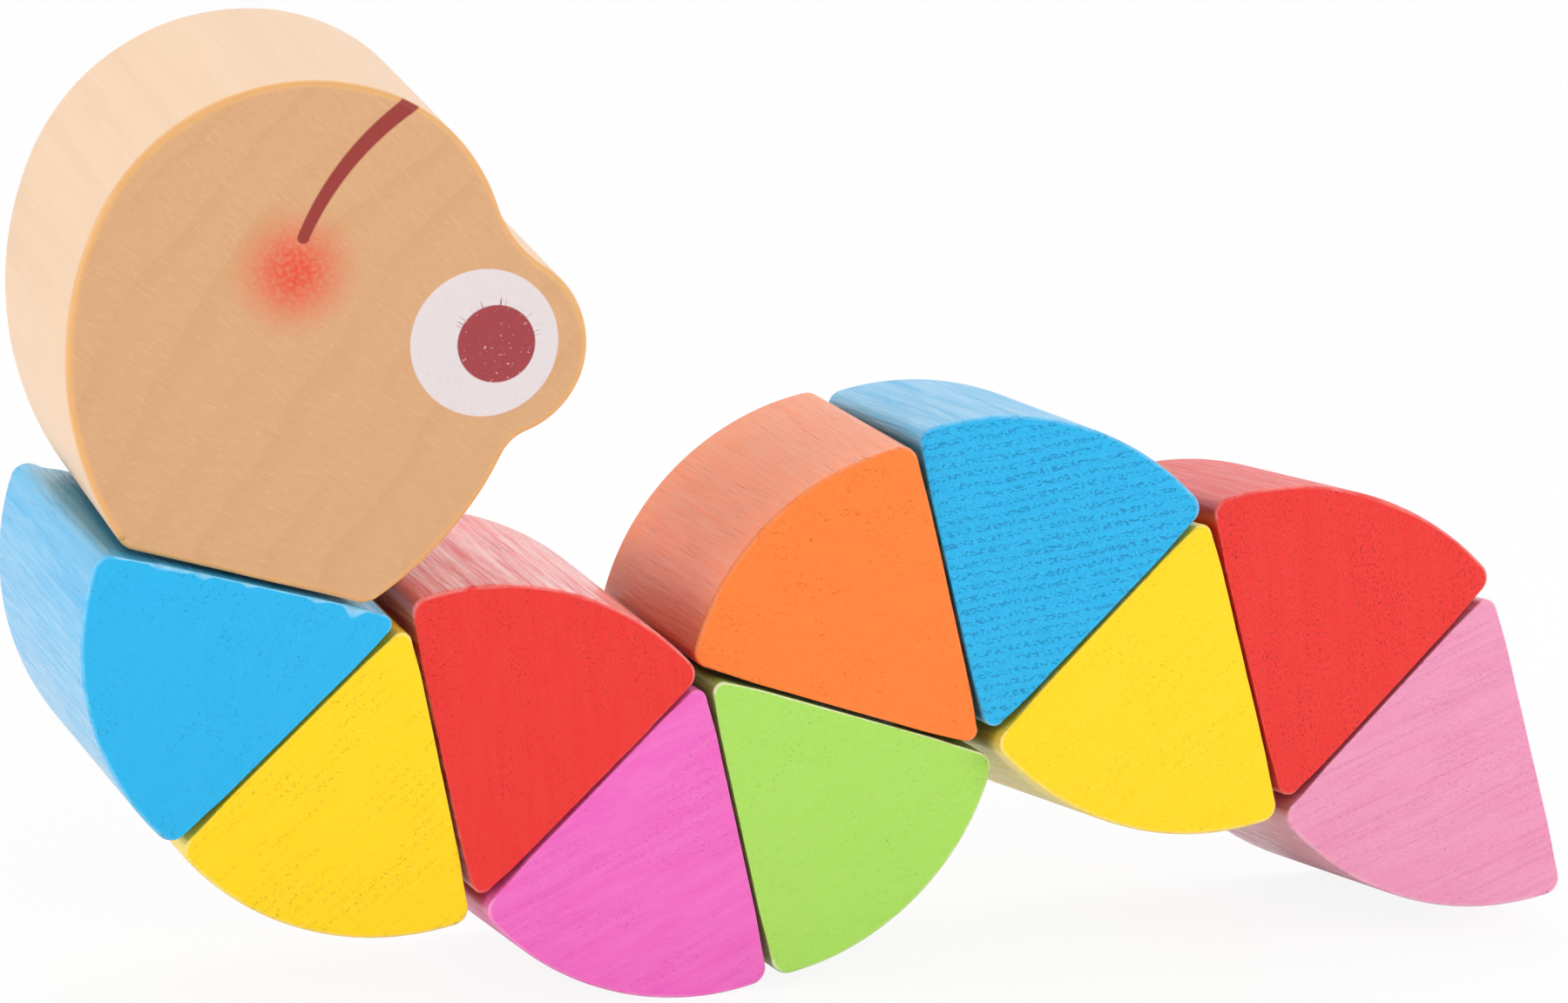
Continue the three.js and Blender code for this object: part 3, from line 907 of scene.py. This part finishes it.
def finished(work: bmesh.types.BMesh, name: str, place: Matrix) -> bpy.types.Mesh:
    """Turns a worked mesh into a piece's smooth mesh, in its place.

    Args:
        work: The mesh in the piece's own frame, in millimetres. It is used up.
        name: The mesh's name.
        place: The piece's frame.

    Returns:
        The mesh in metres, with the point attribute place, in the piece's own frame in millimetres.
    """
    own = work.verts.layers.float_vector.new("place")
    for vertex in work.verts:
        vertex[own] = vertex.co
        vertex.co = place @ (vertex.co * MM)
    bmesh.ops.recalc_face_normals(work, faces=work.faces)
    mesh = bpy.data.meshes.new(name)
    work.to_mesh(mesh)
    work.free()
    mesh.shade_smooth()
    return mesh


def skin(name: str, rings: list[list[Vector]], place: Matrix) -> bpy.types.Mesh:
    """Closed mesh over rings of points, such as a tube or a turned piece.

    Args:
        name: The mesh's name.
        rings: Rings with the same number of points each, in millimetres.
        place: The piece's frame.

    Returns:
        The mesh, in its place in metres.
    """
    work = bmesh.new()
    made = [[work.verts.new(point) for point in ring] for ring in rings]
    bridge(work, made)
    work.faces.new(made[0])
    work.faces.new(made[-1])
    return finished(work, name, place)


def full_turn(steps: int) -> list[float]:
    """Evenly spaced angles of a full turn, in radians."""
    return [2 * math.pi * i / steps for i in range(steps)]


def turned_rings(profile: list[tuple[float, float]], sides: int) -> list[list[Vector]]:
    """Rings of a piece turned about +Y, from radius and height pairs."""
    turns = full_turn(sides)
    return [[Vector((r * math.cos(t), y, r * math.sin(t))) for t in turns] for r, y in profile]


# The worm's own sizes


@dataclass(frozen=True)
class BoreSizes:
    """The cord, its bores and its two anchors."""

    cord_radius: float = 1.5
    bore_radius: float = 2.0
    flare: float = 0.6  # countersink of a mouth
    bend: float = 2.0  # of the cord, on each side of where two bores meet
    anchor_radius: float = 3.7
    anchor_depth: float = 12.7
    drill_point: float = math.radians(59)
    knot_start: float = 5.6
    knot_turns: int = 2
    knot_core: float = 1.3
    knot_tail: float = 0.8
    sides: int = 24


@dataclass(frozen=True)
class WedgeSizes:
    """A wedge block seen from the front.

    Its frame has the first joint face in y = 0 and the swivel axis along +Y through the origin.
    """

    side: float = 26.6
    sector: float = math.radians(59)
    back_radius: float = 23.2
    thickness: float = 30.0
    corner_radius: float = 1.4  # the two outer corners
    tip_radius: float = 0.9  # the inner corner
    edge_radius: float = 0.4
    joint_edge: float = 0.14  # edge radius along the joint faces
    pivot: float = 12.9
    joint_gap: float = 0.6
    crown: float = 0.13  # how far the middle of a joint face stands proud of its ends
    crown_ease: float = 4.0  # length over which it does so at each end
    spacing: float = 0.3  # of the outline's points

    @property
    def corner(self) -> Vector:
        """Sharp inner corner."""
        return Vector((-self.pivot, 0.0))

    @property
    def bore_meet(self) -> float:
        """How deep the bores of the two faces meet."""
        return self.pivot * math.tan(self.sector / 2)

    def mirrored(self, point: Vector) -> Vector:
        """Mirrors a point across the plane that halves the wedge, which swaps the two joint faces.

        Args:
            point: The point.

        Returns:
            Its mirror image.
        """
        half = self.sector / 2
        along = Vector((math.cos(half), math.sin(half), 0.0))
        start = self.corner.to_3d()
        way = point - start
        flat = Vector((way.x, way.y, 0.0))
        return start + 2 * flat.dot(along) * along - flat + Vector((0.0, 0.0, way.z))

    def outline(self) -> Outline:
        """Inner corner, first face, rounded back, second face.

        Returns:
            The outline.
        """
        half = self.sector / 2
        round_ = self.corner_radius
        reach = self.side * math.cos(half)
        reach -= math.sqrt(self.back_radius**2 - (self.side * math.sin(half)) ** 2)
        back = polar(self.corner, reach, half)
        inner = polar(self.corner, self.tip_radius / math.sin(half), half)
        inside = self.back_radius - round_
        first = Vector((back.x + math.sqrt(inside**2 - (back.y - round_) ** 2), round_))
        start = heading(back, first)
        second = polar(back, inside, self.sector - start)
        quarter = math.pi / 2
        made = Outline(self.spacing)
        made.arc(inner, self.tip_radius, self.sector + quarter, 3 * quarter, Span.CORNER, Span.CORNER)
        made.arc(first, round_, -quarter, start, Span.CORNER, Span.FIRST_FACE)
        made.arc(back, self.back_radius, start, self.sector - start, Span.BACK, Span.BACK)
        made.arc(second, round_, self.sector - start, self.sector + quarter, Span.CORNER, Span.BACK)
        made.close(Span.SECOND_FACE)
        middle = Vector((0.0, 0.0, 0.0))
        self._crown(made, Span.FIRST_FACE, middle)
        self._crown(made, Span.SECOND_FACE, self.mirrored(middle))
        return made

    def _crown(self, made: Outline, face: Span, middle: Vector) -> None:
        """Raises a joint face between its ends.

        Args:
            made: The outline, which is changed.
            face: The joint face.
            middle: The point of the swivel on it.
        """
        for i, span in enumerate(made.spans):
            if span is face and made.spans[i - 1] is face:
                inside = self.pivot - (made.points[i] - middle.xy).length
                share = min(1.0, max(0.0, (inside - self.corner_radius) / self.crown_ease))
                made.points[i] += made.normals[i] * self.crown * share * share * (3 - 2 * share)

    def through_bore(self, bore: BoreSizes) -> Drilling:
        """Bores square to the two faces, which meet inside the block.

        Args:
            bore: Sizes of the bores.

        Returns:
            The drilling.
        """
        mouth = (bore.bore_radius + bore.flare, -self.crown)
        first = turned_rings([mouth, (bore.bore_radius, bore.flare)], bore.sides)
        slope = math.tan(self.sector / 2)
        meet = [Vector((p.x, (p.x + self.pivot) * slope, p.z)) for p in first[1]]
        second = [[self.mirrored(p) for p in ring] for ring in reversed(first)]
        rings = [*first, meet, *second]
        return Drilling(rings, {Span.FIRST_FACE: 0, Span.SECOND_FACE: len(rings) - 1})


def anchor_hole(bore: BoreSizes, face: Span, mouth: float) -> Drilling:
    """Blind hole for a plug and a knot, with the drill's point.

    Args:
        bore: Sizes of the hole.
        face: The face that it opens on.
        mouth: Height of that face.

    Returns:
        The drilling.
    """
    wall = [(bore.anchor_radius, height) for height in (mouth, bore.anchor_depth)]
    point = bore.anchor_depth + bore.anchor_radius / math.tan(bore.drill_point)
    return Drilling(turned_rings(wall, bore.sides), {face: 0}, Vector((0.0, point, 0.0)))


@dataclass(frozen=True)
class HeadSizes:
    """The head seen from the front. Its frame has the neck in y = 0, with the swivel axis at x = 0."""

    thickness: float = 30.0
    edge_radius: float = 0.8
    face: tuple[float, float] = (-1.4, 22.6)
    face_radius: float = 19.1
    crown_radius: float = 15.4
    crown_angle: float = math.radians(87)
    flank_radius: float = 28.1
    cheek_flank_angle: float = math.radians(173)
    eye_flank_angle: float = math.radians(20)
    boss: tuple[float, float] = (14.7, 23.35)
    boss_radius: float = 7.75
    brow_hollow: float = 10.2
    jaw_hollow: float = 3.9
    neck_radius: float = 2.1
    spacing: float = 0.35

    def _hollow(self, first: Vector, first_reach: float, second: Vector, second_reach: float) -> Vector:
        """Finds the centre of a hollow between two arcs.

        Args:
            first: Centre of the first arc.
            first_reach: Distance from it.
            second: Centre of the second arc.
            second_reach: Distance from that one.

        Returns:
            The centre that is to the left of the way from first to second.
        """
        apart = (second - first).length
        along = (first_reach**2 - second_reach**2 + apart**2) / (2 * apart)
        return polar(first, first_reach, heading(first, second) + math.acos(along / first_reach))

    def _neck_corner(self, flank: Vector, side: int) -> Vector:
        """Finds the centre of a rounded corner between a flank and the neck.

        Args:
            flank: Centre of the flank's arc.
            side: 1 at the eye, -1 at the cheek.

        Returns:
            The centre.
        """
        inside = self.flank_radius - self.neck_radius
        out = math.sqrt(inside**2 - (flank.y - self.neck_radius) ** 2)
        return Vector((flank.x + side * out, self.neck_radius))

    def outline(self) -> Outline:
        """Arcs that run into each other: flank, jaw, eye boss, brow, crown, face, flank, neck.

        Returns:
            The outline.
        """
        face, boss = Vector(self.face), Vector(self.boss)
        flank_r, boss_r, crown_r = self.flank_radius, self.boss_radius, self.crown_radius
        brow_r, jaw_r, neck_r = self.brow_hollow, self.jaw_hollow, self.neck_radius
        crown = polar(face, self.face_radius - crown_r, self.crown_angle)
        cheek = polar(face, self.face_radius - flank_r, self.cheek_flank_angle)
        eye = polar(face, self.face_radius - flank_r, self.eye_flank_angle)
        brow = self._hollow(crown, crown_r + brow_r, boss, boss_r + brow_r)
        jaw = self._hollow(boss, boss_r + jaw_r, eye, flank_r + jaw_r)
        eye_neck, cheek_neck = self._neck_corner(eye, 1), self._neck_corner(cheek, -1)
        down = -math.pi / 2
        arcs = (
            (eye_neck, neck_r, down, heading(eye, eye_neck)),
            (eye, flank_r, heading(eye, eye_neck), heading(eye, jaw)),
            (jaw, -jaw_r, heading(jaw, eye), heading(jaw, boss)),
            (boss, boss_r, heading(boss, jaw), heading(boss, brow)),
            (brow, -brow_r, heading(brow, boss), heading(brow, crown)),
            (crown, crown_r, heading(crown, brow), self.crown_angle),
            (face, self.face_radius, self.crown_angle, self.cheek_flank_angle),
            (cheek, flank_r, self.cheek_flank_angle, heading(cheek, cheek_neck)),
            (cheek_neck, neck_r, heading(cheek, cheek_neck), down),
        )
        made = Outline(self.spacing)
        for centre, radius, start, end in arcs:
            made.arc(centre, radius, start, end, Span.RIM, Span.RIM)
        made.close(Span.NECK)
        return made


# Pieces in their places


@dataclass
class Chain:
    """Where the frame's swivels put the head and the blocks."""

    bodies: list[str]
    gap: float
    points: list[Vector] = field(default_factory=list)
    axes: list[Vector] = field(default_factory=list)  # towards the tail
    head_rear: Vector = field(default_factory=Vector)

    def __post_init__(self) -> None:
        """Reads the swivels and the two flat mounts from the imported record."""
        for before, after in zip(self.bodies, self.bodies[1:]):
            joint = next(j for j in frame["joints"] if {j["parent"], j["child"]} == {before, after})
            towards_tail = 1 if joint["child"] == after else -1
            self.points.append(Vector(joint["pos_m"]))
            self.axes.append(Vector(joint["axis"]) * towards_tail)
        mounts = {m["name"]: Vector(m["axis"]) for m in frame["record"]["mounts"]}
        self.axes.append(mounts["tail_face"])
        self.head_rear = mounts["head_rear"]

    def block_place(self, number: int) -> Matrix:
        """Finds the frame of a block.

        Args:
            number: The block, counted from 0 at the neck.

        Returns:
            Its frame.
        """
        up = self.axes[number]
        through = up.cross(self.axes[number + 1]).normalized()
        return self._frame(self.points[number] + up * self.gap / 2 * MM, up, through)

    def head_place(self) -> Matrix:
        """Frame of the head."""
        up = -self.axes[0]
        return self._frame(self.points[0] + up * self.gap / 2 * MM, up, -self.head_rear)

    @staticmethod
    def _frame(origin: Vector, up: Vector, through: Vector) -> Matrix:
        """Makes the matrix of a frame.

        Args:
            origin: Its origin in metres.
            up: Its y axis.
            through: Its z axis, through the board's thickness.

        Returns:
            The matrix.
        """
        y_axis = up.normalized()
        x_axis = y_axis.cross(through).normalized()
        turn = Matrix((x_axis, y_axis, x_axis.cross(y_axis))).transposed()
        return Matrix.Translation(origin) @ turn.to_4x4()


@dataclass
class Placed:
    """How a finished mesh joins the frame: its body, the node it stands for and its material slot."""

    body: str
    node: str
    slot: str

    def put(self, mesh: bpy.types.Mesh, material: bpy.types.Material) -> bpy.types.Object:
        """Adds a piece to the scene and ties it to the frame.

        Args:
            mesh: The piece's mesh, in its place.
            material: Its finish.

        Returns:
            The piece.
        """
        piece = linked(mesh.name, mesh)
        mesh.materials.append(material)
        piece.modifiers.new("even_normals", "WEIGHTED_NORMAL").keep_sharp = True
        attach(piece, self.body)
        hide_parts(self.node)
        log.info("%s: %d faces on %s", piece.name, len(mesh.polygons), self.body)
        return piece


@dataclass
class WedgeBlock:
    """One painted block of the worm."""

    name: str
    placed: Placed
    finish: PaintedBeech
    ragged: dict[Span, float]
    bare: dict[Span, float]
    tail: bool = False
    sizes: WedgeSizes = WedgeSizes()
    bore: BoreSizes = BoreSizes()

    def build(self, place: Matrix) -> bpy.types.Object:
        """Builds the block and paints it.

        Args:
            place: The block's frame.

        Returns:
            The piece.
        """
        sizes = self.sizes
        hole = sizes.through_bore(self.bore)
        if self.tail:
            hole = anchor_hole(self.bore, Span.FIRST_FACE, -sizes.crown)
        board = Board(
            outline=sizes.outline(),
            thickness=sizes.thickness,
            edge_radius=sizes.edge_radius,
            crisp={Span.FIRST_FACE: sizes.joint_edge, Span.SECOND_FACE: sizes.joint_edge},
            ragged=self.ragged,
            bare=self.bare,
            drilling=hole,
            seed=self.finish.seed,
        )
        return self.placed.put(board.mesh(self.name, place), self.finish.material())


@dataclass
class WormHead:
    """The head, with its prints."""

    placed: Placed
    finish: VarnishedBeech
    sizes: HeadSizes = HeadSizes()
    bore: BoreSizes = BoreSizes()
    seed: float = 0.5

    def build(self, place: Matrix) -> bpy.types.Object:
        """Builds the head and finishes it.

        Args:
            place: The head's frame.

        Returns:
            The piece.
        """
        board = Board(
            outline=self.sizes.outline(),
            thickness=self.sizes.thickness,
            edge_radius=self.sizes.edge_radius,
            crisp={},
            ragged={},
            bare={Span.RIM: 1.0},
            drilling=anchor_hole(self.bore, Span.NECK, 0.0),
            seed=self.seed,
        )
        return self.placed.put(board.mesh("worm_head", place), self.finish.material())


@dataclass
class ElasticCord:
    """The cord's stretches, one in each block, and its two knotted ends."""

    wedge: WedgeSizes = WedgeSizes()
    bore: BoreSizes = BoreSizes()

    BEND_STEPS = 10
    LOOP_STEPS = 10
    LOOP_SWEEP = 75  # degrees to each side of a knot's turn that show

    def through(self, name: str, place: Matrix) -> bpy.types.Mesh:
        """Stretch from face to face, with a round bend where the bores meet.

        Args:
            name: The mesh's name.
            place: The block's frame.

        Returns:
            The mesh.
        """
        meet = Vector((0.0, self.wedge.bore_meet, 0.0))
        entry = Vector((0.0, 0.0, 0.0))
        leave = self.wedge.mirrored(entry)
        before = meet + (entry - meet).normalized() * self.bore.bend
        after = meet + (leave - meet).normalized() * self.bore.bend
        line = [entry]
        for step in range(self.BEND_STEPS + 1):
            t = step / self.BEND_STEPS
            line.append(before * (1 - t) ** 2 + meet * 2 * t * (1 - t) + after * t**2)
        line.append(leave)
        rings = []
        for i, point in enumerate(line):
            way = line[min(i + 1, len(line) - 1)] - line[max(i - 1, 0)]
            aside = Vector((way.y, -way.x, 0.0)).normalized()
            turns = full_turn(self.bore.sides)
            across = [aside * math.cos(t) + Vector((0.0, 0.0, math.sin(t))) for t in turns]
            rings.append([point + a * self.bore.cord_radius for a in across])
        return skin(name, rings, place)

    def knotted(self, name: str, place: Matrix) -> bpy.types.Mesh:
        """End of the cord with its stopper knot, of turns side by side.

        Args:
            name: The mesh's name.
            place: The frame of the head or the tail block.

        Returns:
            The mesh.
        """
        bore, radius = self.bore, self.bore.cord_radius
        profile = [(radius, 0.0), (radius, bore.knot_start)]
        for turn in range(bore.knot_turns):
            middle = bore.knot_start + (2 * turn + 1) * radius
            for step in range(self.LOOP_STEPS + 1):
                angle = math.radians(-self.LOOP_SWEEP + 2 * self.LOOP_SWEEP * step / self.LOOP_STEPS)
                out = bore.knot_core + radius * math.cos(angle)
                profile.append((out, middle + radius * math.sin(angle)))
        end = bore.knot_start + 2 * bore.knot_turns * radius
        profile += [(radius, end), (radius, end + bore.knot_tail)]
        return skin(name, turned_rings(profile, bore.sides), place)


# Studio


@dataclass(frozen=True)
class Camera:
    """The photographer's camera, in the worm's frame."""

    target: tuple[float, float, float] = (0.71, 0.0, 38.85)
    distance: float = 881.3
    left_of_front: float = math.radians(18.64)
    elevation: float = math.radians(11.07)
    roll: float = math.radians(-0.651)
    lens: float = 240.0
    sensor: float = 36.0

    def build(self) -> None:
        """Makes the camera and hands it to the scene."""
        level, turn = math.cos(self.elevation), self.left_of_front
        back = Vector((-math.sin(turn) * level, -math.cos(turn) * level, math.sin(self.elevation)))
        right = Vector((math.cos(turn), -math.sin(turn), 0.0))
        right = Matrix.Rotation(self.roll, 3, back) @ right
        axes = Matrix((right, back.cross(right), back)).transposed()
        data = bpy.data.cameras.new("photo_camera")
        data.lens = self.lens
        data.sensor_width = self.sensor
        camera = linked("photo_camera", data)
        place = (Vector(self.target) + back * self.distance) * MM
        camera.matrix_world = Matrix.Translation(place) @ axes.to_4x4()
        bpy.context.scene.camera = camera


@dataclass(frozen=True)
class SoftLamp:
    """A square diffuser, placed and sized in metres."""

    name: str
    place: tuple[float, float, float]
    size: float
    watts: float

    def build(self, aim: Vector) -> None:
        """Hangs the lamp.

        Args:
            aim: The point that it faces.
        """
        data = bpy.data.lights.new(self.name, "AREA")
        data.shape = "SQUARE"
        data.size = self.size
        data.energy = self.watts
        lamp = linked(self.name, data)
        lamp.location = self.place
        lamp.rotation_euler = (aim - lamp.location).to_track_quat("-Z", "Y").to_euler()


@dataclass(frozen=True)
class Studio:
    """White paper floor, a white room that is dim behind the camera, and four soft lamps."""

    floor_half: float = 3.0  # metres
    aim: tuple[float, float, float] = (0.0, 0.0, 0.04)
    ambient: float = 0.5  # of the room as a light, against how it looks in a reflection
    dim_front: float = 0.25  # of the room behind the camera
    front_fade: tuple[float, float] = (-0.7, 0.1)  # from there to the full room, along +Y
    paper: str = "fafafa"
    paper_glow: float = 0.9  # share of the paper that the camera sees as plain white
    mirrored_glow: float = 0.2  # the same in a reflection
    lamps: tuple[SoftLamp, ...] = (
        SoftLamp("key_front", (-0.05, -1.05, 0.55), 0.7, 4.6),
        SoftLamp("fill_right", (0.72, -0.78, 0.45), 0.7, 4.8),
        SoftLamp("window_left", (-1.05, -0.12, 0.28), 0.6, 5.0),
        SoftLamp("top_back", (0.15, 0.5, 0.95), 0.8, 4.4),
    )

    def build(self) -> None:
        """Makes the floor, the world and the lamps."""
        for lamp in self.lamps:
            lamp.build(Vector(self.aim))
        self._world()
        self._floor()

    def _world(self) -> None:
        """White to the camera, dimmer as a light and in reflections of its front."""
        world = bpy.data.worlds.new("white_room")
        bpy.context.scene.world = world
        world.use_nodes = True
        tree = world.node_tree
        tree.nodes.clear()
        path = add_node(tree, "LightPath").node.outputs
        way = add_node(tree, "TexCoord", None, "Generated")
        ahead = add_node(tree, "SeparateXYZ", {0: way}, "Y")
        low, high = self.front_fade
        front = {"Value": ahead, "From Min": low, "From Max": high, "To Min": self.dim_front}
        room = add_node(tree, "MapRange", front, interpolation_type="SMOOTHSTEP")
        dimmed = add_node(tree, "Math", {0: room, 1: self.ambient}, operation="MULTIPLY")
        mirrored = {0: path["Is Glossy Ray"], 1: path["Is Transmission Ray"]}
        glossy = add_node(tree, "Math", mirrored, operation="MAXIMUM")
        unseen = add_node(tree, "Mix", {0: glossy, 2: dimmed, 3: room})
        level = add_node(tree, "Mix", {0: path["Is Camera Ray"], 2: unseen, 3: 1.0})
        background = add_node(tree, "Background", {"Color": WHITE, "Strength": level})
        add_node(tree, "OutputWorld", {"Surface": background})

    def _floor(self) -> None:
        """Matt white paper, which keeps the worm's shadow."""
        half = self.floor_half
        mesh = bpy.data.meshes.new("paper_floor")
        corners = [(-half, -half, 0.0), (half, -half, 0.0), (half, half, 0.0), (-half, half, 0.0)]
        mesh.from_pydata(corners, [], [(0, 1, 2, 3)])
        floor = linked("paper_floor", mesh)
        material, tree = new_tree("matt_paper_sheet")
        matt = add_node(tree, "BsdfDiffuse", {"Color": linear(self.paper)})
        path = add_node(tree, "LightPath").node.outputs
        mirrored = {0: path["Is Glossy Ray"], 1: path["Is Transmission Ray"]}
        glossy = add_node(tree, "Math", mirrored, operation="MAXIMUM")
        seen = {0: path["Is Camera Ray"], 1: self.paper_glow}
        direct = add_node(tree, "Math", seen, operation="MULTIPLY")
        both = {0: glossy, 1: self.mirrored_glow, 2: direct}
        glow = add_node(tree, "Math", both, operation="MULTIPLY_ADD")
        white = add_node(tree, "Emission", {"Color": WHITE, "Strength": 1.0})
        shader = add_node(tree, "MixShader", {0: glow, 1: matt, 2: white})
        add_node(tree, "OutputMaterial", {"Surface": shader})
        mesh.materials.append(material)


# The worm


# the finish of each body's block, from the neck to the tail; sides sets the long grain's paler
# tone, partly thinner paint and partly painted sheen
FINISHES = {
    "blue_front": PaintedBeech(
        "blue_enamel_on_beech_front", Paint.BLUE, 73, sides=0.25, gloss=0.9, seed=1,
    ),
    "yellow_front": PaintedBeech(
        "yellow_enamel_on_beech_front", Paint.YELLOW, 177,
        pores=0.34, crowd=0.6, rows=0.8, patches=0.8, seed=2,
    ),
    "red_front": PaintedBeech(
        "red_enamel_on_beech_front", Paint.RED, 7,
        pores=0.6, crowd=0.3, sides=0.9, gloss=1.0, streaks=0.65, seed=3,
    ),
    "magenta_foot": PaintedBeech(
        "magenta_stain_on_beech", Paint.MAGENTA, 161,
        pores=0.3, crowd=0.5, rows=0.5, patches=0.8, mottle=0.08, lines=0.08, seed=4,
    ),
    "green": PaintedBeech(
        "green_enamel_on_beech", Paint.GREEN, 108, pores=0.3, crowd=0.0, seed=5,
    ),
    "orange": PaintedBeech(
        "orange_enamel_on_beech", Paint.ORANGE, 176,
        # painted shade on the orange back, next to its first joint face
        lines=0.03, sides=0.2, gloss=0.42, streaks=0.2, painted_shade=0.75, seed=6,
    ),
    "blue_rear": PaintedBeech(
        "blue_enamel_on_beech_rear", Paint.BLUE, 94,
        pores=0.6, crowd=1.1, rows=0.8, patches=0.2, grooves=0.2,
        sides=0.6, gloss=0.38, relief=0.08, seed=7,
    ),
    "yellow_rear": PaintedBeech(
        "yellow_enamel_on_beech_rear", Paint.YELLOW, 178,
        pores=0.35, crowd=0.3, rows=0.7, sides=0.5, gloss=0.4, seed=8,
    ),
    "red_rear": PaintedBeech(
        "red_enamel_on_beech_rear", Paint.RED, 9,
        pores=0.6, crowd=0.55, rows=0.3, patches=0.5, grooves=0.2, sides=0.15, gloss=0.14, seed=9,
    ),
    "pink_tail": PaintedBeech(
        "pink_stain_on_beech", Paint.PINK, 158,
        pores=0.25, crowd=0.6, rows=0.6, patches=0.5, mottle=0.08, lines=0.15, relief=0.06, seed=10,
    ),
}

# how ragged the edges of the joint faces are: as sawn, but chipped at the neck and wavy on one block
SAWN = {Span.FIRST_FACE: 0.12, Span.SECOND_FACE: 0.12}
RAGGED = {
    "blue_front": {Span.FIRST_FACE: 1.4, Span.SECOND_FACE: 0.15},
    "red_front": {Span.FIRST_FACE: 0.12, Span.SECOND_FACE: 0.4},
}

# how bare they are, which also sets the painted edge highlight: painted, but rubbed at the neck
# and on top of one block
PAINTED = {Span.FIRST_FACE: 0.2, Span.SECOND_FACE: 0.2}
RUBBED = {
    "blue_front": {Span.FIRST_FACE: 2.0, Span.SECOND_FACE: 0.2},
    "green": {Span.FIRST_FACE: 0.4, Span.SECOND_FACE: 2.4, Span.CORNER: 1.8},
}

# cotton over rubber, braided: a pale matt tube with fine dark gaps between the threads
BRAID = PlainFinish(
    "braided_elastic_cord",
    colour="efece2", fleck="c9c4b6", size=(0.4, 0.4, 0.4), roughness=0.8, relief=0.1,
)
# beech, turned and left raw: dull, with brown fibres along the dowel
DOWEL = PlainFinish(
    "raw_beech_dowel",
    colour="d8b78c", fleck="b98f5f", size=(0.3, 4.0, 0.3), roughness=0.7, relief=0.05,
)
CORD_SLOT = "elastic_cord"


def main() -> None:
    """Builds the camera, the studio and the worm, from head to tail."""
    logging.basicConfig(level=logging.INFO, format="%(message)s")
    bpy.context.scene.view_settings.view_transform = "Standard"
    Camera().build()
    Studio().build()

    chain = Chain(["head", *FINISHES], WedgeSizes().joint_gap)
    wood = VarnishedBeech("varnished_beech_head", FacePrints())
    WormHead(Placed("head", "head", "head_wood"), wood).build(chain.head_place())
    cord = ElasticCord()
    cord_material, dowel_material = BRAID.material(), DOWEL.material()
    end = Placed("head", "cord_head", CORD_SLOT)
    end.put(cord.knotted("cord_end_head", chain.head_place()), cord_material)
    for number, (body, finish) in enumerate(FINISHES.items()):
        tail = number == len(FINISHES) - 1
        colour = finish.paint.name.lower()
        node = f"block_{number + 1:02d}_{colour}"
        place = chain.block_place(number)
        placed = Placed(body, node, f"paint_{colour}")
        edges = RAGGED.get(body, SAWN), RUBBED.get(body, PAINTED)
        WedgeBlock(f"{body}_block", placed, finish, *edges, tail).build(place)
        held = "cord_tail" if tail else node.replace("block", "cord")
        mesh = cord.knotted("cord_end_tail", place) if tail else cord.through(f"{body}_cord", place)
        Placed(body, held, CORD_SLOT).put(mesh, cord_material)
    for name in ("plug_head", "plug_tail"):
        plug = frame["nodes"][name]
        plug.data.materials.clear()
        plug.data.materials.append(dowel_material)
        log.info("%s: turned dowel, kept from the frame", name)


if __name__ == "__main__":
    main()
